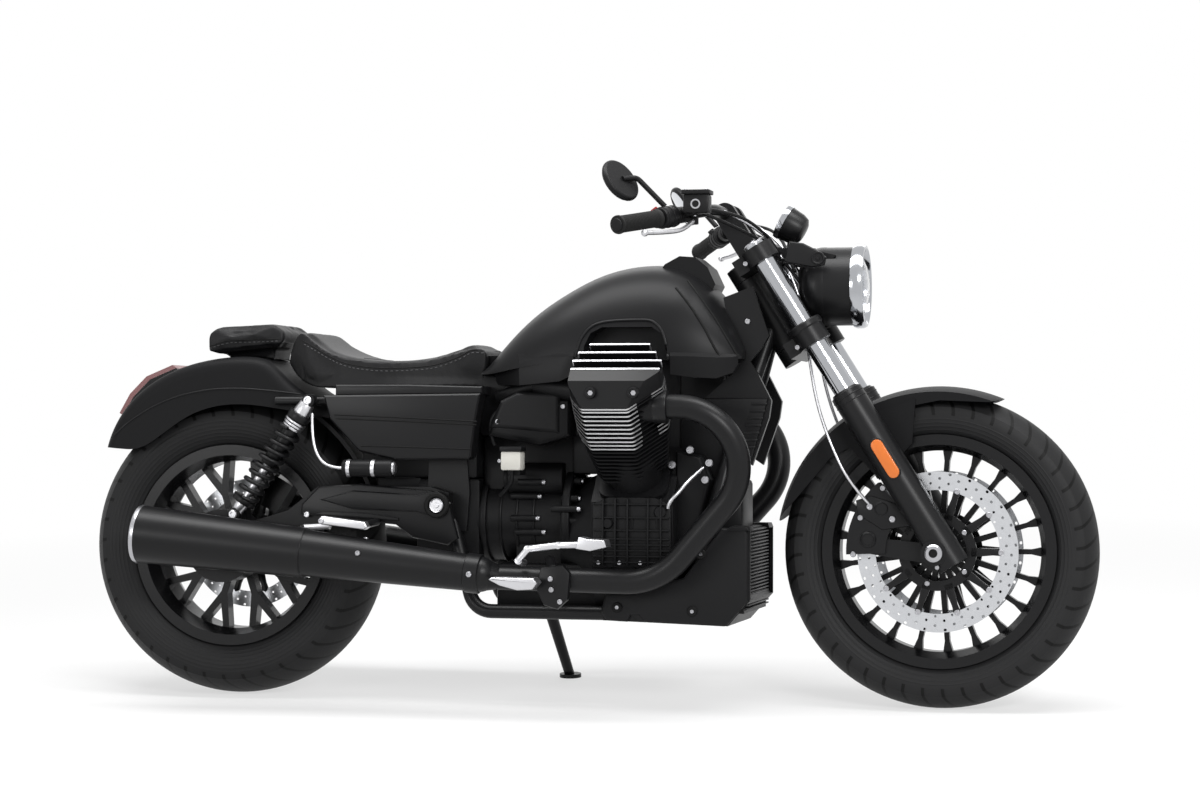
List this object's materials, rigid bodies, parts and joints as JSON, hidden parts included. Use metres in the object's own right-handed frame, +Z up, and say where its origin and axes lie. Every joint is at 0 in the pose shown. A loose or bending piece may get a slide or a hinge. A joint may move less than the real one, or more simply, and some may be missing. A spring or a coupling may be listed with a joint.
{
  "type": "cruiser motorcycle",
  "caption": "Muscle-style cruiser motorcycle with an across-the-frame V engine and shaft drive, leaning on its side stand.",
  "frame": {"origin": "middle of the bounding box at ground level, with the machine leaning on its side stand", "axes": "+X forward along the wheelbase, +Y to the rider's left, +Z up from the ground"},
  "size_m": [2.173, 0.9132, 1.1433],
  "materials": {
    "satin_black": "satin",
    "engine_black": "matt",
    "wheel_black": "satin",
    "tyre": "matt",
    "disc_steel": "brushed",
    "chrome": "polished",
    "steel": "satin",
    "rubber": "matt",
    "plastic": "matt",
    "seat_cover": "satin",
    "clear_lens": "clear",
    "red_lens": "gloss",
    "aluminium": "satin"
  },
  "bodies": {
    "chassis": {"frame": "satin_black", "crankcase": "engine_black", "alternator_cover": "engine_black", "gearbox": "engine_black", "cylinders": "engine_black", "head_covers": "satin_black", "exhaust_headers": "satin_black", "mufflers": "satin_black", "swing_arm": "satin_black", "rear_axle": "steel", "rear_caliper": "satin_black", "shocks": "satin_black", "fuel_tank": "satin_black", "seat": "seat_cover", "passenger_pad": "seat_cover", "rear_fender": "satin_black", "tail_lamp": "red_lens", "side_panels": "satin_black", "air_box": "plastic", "neck_covers": "satin_black", "lower_cover": "plastic", "oil_cooler": "aluminium", "footpegs": "aluminium"},
    "steering": {"fork_yokes": "satin_black", "fork_stanchions": "chrome", "fork_sliders": "satin_black", "front_axle": "steel", "handlebar": "satin_black", "grips": "rubber", "hand_controls": "satin_black", "mirrors": "satin_black", "headlamp_bucket": "satin_black", "headlamp_rim": "chrome", "headlamp_lens": "clear_lens", "lamp_bracket": "satin_black", "instrument": "satin_black", "front_fender": "satin_black", "front_calipers": "satin_black"},
    "front_wheel": {"front_tyre": "tyre", "front_rim": "wheel_black", "front_discs": "disc_steel"},
    "rear_wheel": {"rear_tyre": "tyre", "rear_rim": "wheel_black", "rear_disc": "disc_steel"},
    "side_stand": {"side_stand": "satin_black"}
  },
  "joints": [
    {"name": "steering", "type": "hinge", "parent": "chassis", "child": "steering", "pos_m": [0.40793, -0.01495, 0.809], "axis": [-0.5299, 0.0739, 0.8448], "range_deg": [-36, 36]},
    {"name": "front_wheel_spin", "type": "hinge", "parent": "steering", "child": "front_wheel", "pos_m": [0.7615, -0.05736, 0.32428], "axis": [0, 0.9962, -0.0872], "continuous": true},
    {"name": "rear_wheel_spin", "type": "hinge", "parent": "chassis", "child": "rear_wheel", "pos_m": [-0.7635, -0.05753, 0.32229], "axis": [0, 0.9962, -0.0872], "continuous": true},
    {"name": "side_stand_swing", "type": "hinge", "parent": "chassis", "child": "side_stand", "pos_m": [-0.1235, 0.08397, 0.21856], "axis": [0, 0.891, 0.454], "range_deg": [0, 88]}
  ]
}
